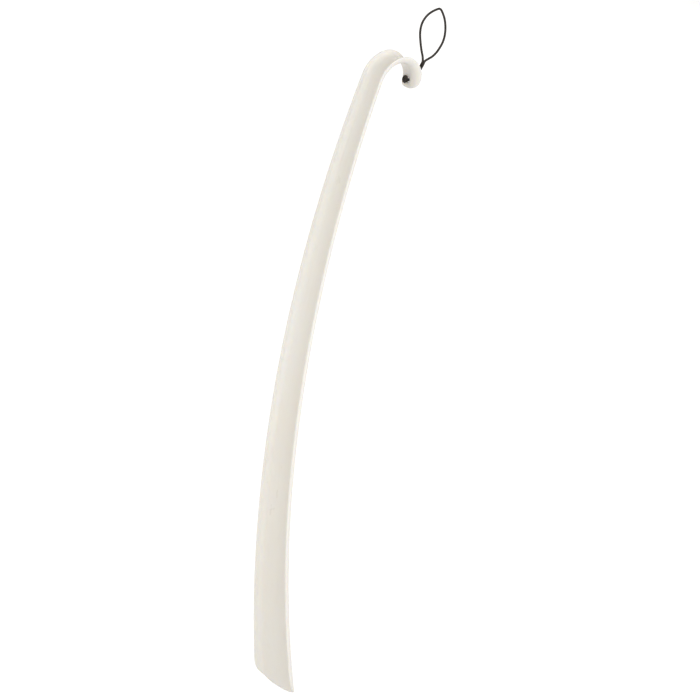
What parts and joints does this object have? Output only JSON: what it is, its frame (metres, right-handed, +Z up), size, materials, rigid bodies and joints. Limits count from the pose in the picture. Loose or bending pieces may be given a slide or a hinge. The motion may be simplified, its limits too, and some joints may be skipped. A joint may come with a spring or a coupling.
{
  "type": "long shoehorn",
  "caption": "Long shoehorn moulded as one bowed channel, flared to a rounded blade below, with a J-shaped hook and a knotted cord loop at the top.",
  "frame": {"origin": "highest point of the inside of the hook, where the rail or peg that carries the shoehorn touches it", "axes": "+Z up as the shoehorn hangs from the hook, +X from the handle towards the hook's free end, Y across the channel"},
  "size_m": [0.1059, 0.0496, 0.654],
  "materials": {
    "horn_plastic": "smooth moulded, satin to glossy, ivory white",
    "cord": "waxed round cord, very dark brown, dull"
  },
  "bodies": {
    "horn": {"horn": "horn_plastic"},
    "cord_root": {"cord_tails": "cord", "stop_knot": "cord"},
    "loop": {"hang_loop": "cord"}
  },
  "joints": [
    {"name": "loop_turn", "type": "hinge", "parent": "horn", "child": "cord_root", "pos_m": [0.01966, 0, -0.01633], "axis": [0.983, 0, 0.1834], "continuous": true},
    {"name": "loop_tilt", "type": "hinge", "parent": "cord_root", "child": "loop", "pos_m": [0.02654, 0, -0.01505], "axis": [0, 1, 0], "range_deg": [-15, 80]}
  ]
}
